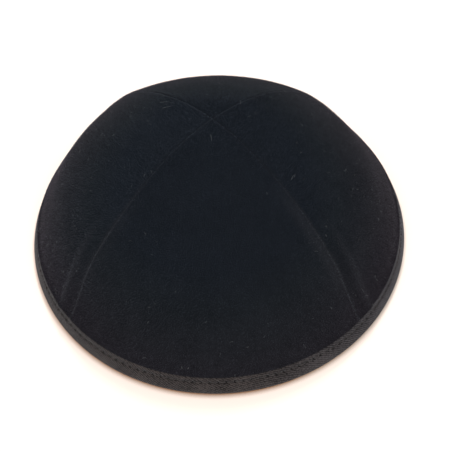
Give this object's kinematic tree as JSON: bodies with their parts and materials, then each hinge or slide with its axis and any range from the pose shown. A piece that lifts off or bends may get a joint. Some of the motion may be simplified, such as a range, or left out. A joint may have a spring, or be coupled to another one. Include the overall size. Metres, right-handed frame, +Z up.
{
  "type": "kippah skullcap",
  "caption": "Velvet kippah of gores joined on crossing seams, with a woven tape folded over its round rim.",
  "frame": {"origin": "centre of the round rim, on the surface that the cap rests on", "axes": "+Z up through the crown; the front gore faces -Y, and the seams leave the crown at about 45 degrees to X and Y"},
  "size_m": [0.16, 0.16, 0.054],
  "materials": {
    "velvet": "deep black velvet pile with a soft grey sheen at its edges",
    "woven_tape": "charcoal twill tape, matt, with one row of stitches"
  },
  "bodies": {
    "root": {"panel_front": "velvet", "panel_right": "velvet", "panel_back": "velvet", "panel_left": "velvet", "rim_tape": "woven_tape"}
  },
  "joints": []
}
